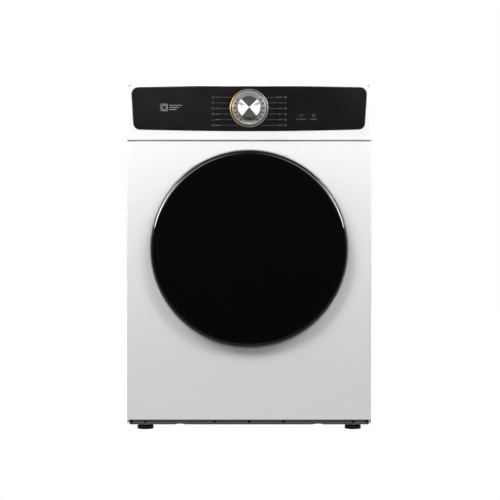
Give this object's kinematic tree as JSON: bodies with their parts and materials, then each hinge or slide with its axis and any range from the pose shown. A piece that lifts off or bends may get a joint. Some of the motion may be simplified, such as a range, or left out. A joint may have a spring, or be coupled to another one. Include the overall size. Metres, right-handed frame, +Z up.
{
  "type": "clothes dryer",
  "caption": "Free-standing front-loading vented tumble dryer with a round dark door, a central program dial and a rear exhaust collar.",
  "frame": {"origin": "on the floor, under the middle of the whole machine's box", "axes": "+Z up, -Y towards the door and the control panel, +X to the right as seen from the front"},
  "size_m": [0.595, 0.56, 0.845],
  "materials": {
    "white_paint": "smooth white enamel",
    "white_plastic": "satin white moulding",
    "black_gloss": "polished black",
    "door_glass": "opaque tinted glass, polished",
    "black_plastic": "moulded",
    "grey_plastic": "moulded",
    "pale_plastic": "moulded",
    "galvanised": "zinc coated",
    "base_steel": "dark grey paint",
    "stainless": "brushed",
    "dial_metal": "spun",
    "dial_light": "light guide, amber on one side",
    "seal_rubber": "moulded",
    "foot_rubber": "moulded",
    "felt": "wool felt",
    "bronze": "sintered",
    "circuit_board": "solder mask"
  },
  "bodies": {
    "cabinet": {"base_tray": "base_steel", "side_panel_left": "white_paint", "side_panel_right": "white_paint", "front_panel": "white_paint", "rear_panel": "galvanised", "worktop": "white_plastic", "front_brace": "galvanised", "rear_brace": "galvanised", "cord_gland": "black_plastic", "control_panel": "white_plastic", "fascia_window": "black_gloss", "control_board": "circuit_board", "dial_halo": "dial_light", "dial_bezel": "dial_metal", "front_bulkhead": "galvanised", "hinge_bracket": "galvanised", "door_catch": "black_plastic", "mouth_collar": "pale_plastic", "filter_duct": "grey_plastic", "bearing_bush": "bronze", "bearing_housing": "galvanised", "front_felt": "felt", "rear_felt": "felt", "air_ring": "galvanised", "drum_belt": "seal_rubber", "motor_housing": "galvanised", "motor_bracket": "galvanised", "fan_housing": "grey_plastic", "idler_bracket": "galvanised", "idler_spring": "stainless", "exhaust_duct": "grey_plastic", "vent_collar": "white_plastic", "heater_cover": "galvanised", "heating_element": "stainless"},
    "door": {"door_ring": "black_gloss", "door_glass": "door_glass", "door_inner_panel": "pale_plastic", "door_seal": "seal_rubber", "door_hook": "black_plastic", "hinge_leaf": "galvanised", "hinge_pin": "stainless"},
    "program_dial": {"program_knob": "dial_metal", "knob_spindle": "black_plastic"},
    "drum": {"drum_shell": "stainless", "drum_rear_wall": "stainless", "drum_lifter_1": "grey_plastic", "drum_lifter_2": "grey_plastic", "drum_lifter_3": "grey_plastic", "drum_shaft": "stainless"},
    "motor_rotor": {"motor_shaft": "stainless", "fan_wheel": "grey_plastic"},
    "left_roller": {"roller_left": "seal_rubber"},
    "right_roller": {"roller_right": "seal_rubber"},
    "tensioner_arm": {"idler_arm": "galvanised"},
    "tensioner_pulley": {"idler_pulley": "black_plastic"},
    "filter": {"lint_filter": "grey_plastic"},
    "front_left_foot": {"foot_front_left": "foot_rubber"},
    "front_right_foot": {"foot_front_right": "foot_rubber"},
    "rear_left_foot": {"foot_rear_left": "foot_rubber"},
    "rear_right_foot": {"foot_rear_right": "foot_rubber"}
  },
  "joints": [
    {"name": "door_hinge", "type": "hinge", "parent": "cabinet", "child": "door", "pos_m": [0.216, -0.257, 0.442], "axis": [0, 0, 1], "range_deg": [0, 160]},
    {"name": "program_knob_turn", "type": "hinge", "parent": "cabinet", "child": "program_dial", "pos_m": [0, -0.25, 0.783], "axis": [0, 1, 0], "continuous": true},
    {"name": "drum_spin", "type": "hinge", "parent": "cabinet", "child": "drum", "pos_m": [0, 0.03, 0.49], "axis": [0, 1, 0], "continuous": true},
    {"name": "motor_spin", "type": "hinge", "parent": "cabinet", "child": "motor_rotor", "pos_m": [0.07, -0.03, 0.118], "axis": [0, 1, 0], "continuous": true},
    {"name": "roller_left_spin", "type": "hinge", "parent": "cabinet", "child": "left_roller", "pos_m": [-0.15115, -0.152, 0.2282], "axis": [0, 1, 0], "continuous": true},
    {"name": "roller_right_spin", "type": "hinge", "parent": "cabinet", "child": "right_roller", "pos_m": [0.15115, -0.152, 0.2282], "axis": [0, 1, 0], "continuous": true},
    {"name": "tensioner_swing", "type": "hinge", "parent": "cabinet", "child": "tensioner_arm", "pos_m": [-0.06, 0.037, 0.15], "axis": [0, 1, 0], "range_deg": [0, 8], "stiffness_Nm_per_rad": 1, "springref_deg": -11.46},
    {"name": "tensioner_pulley_spin", "type": "hinge", "parent": "tensioner_arm", "child": "tensioner_pulley", "pos_m": [0.009, 0.047, 0.1436], "axis": [0, 1, 0], "continuous": true},
    {"name": "filter_slide", "type": "slide", "parent": "cabinet", "child": "filter", "axis": [0, 0, 1], "range_m": [0, 0.11]},
    {"name": "front_left_foot_adjust", "type": "slide", "parent": "cabinet", "child": "front_left_foot", "axis": [0, 0, -1], "range_m": [0, 0.012]},
    {"name": "front_right_foot_adjust", "type": "slide", "parent": "cabinet", "child": "front_right_foot", "axis": [0, 0, -1], "range_m": [0, 0.012]},
    {"name": "rear_left_foot_adjust", "type": "slide", "parent": "cabinet", "child": "rear_left_foot", "axis": [0, 0, -1], "range_m": [0, 0.012]},
    {"name": "rear_right_foot_adjust", "type": "slide", "parent": "cabinet", "child": "rear_right_foot", "axis": [0, 0, -1], "range_m": [0, 0.012]}
  ],
  "couplings": [
    {"joint": "motor_spin", "follows": "drum_spin", "ratio": 28.614},
    {"joint": "roller_left_spin", "follows": "drum_spin", "ratio": -12.727},
    {"joint": "roller_right_spin", "follows": "drum_spin", "ratio": -12.727},
    {"joint": "tensioner_pulley_spin", "follows": "drum_spin", "ratio": -15.79}
  ]
}
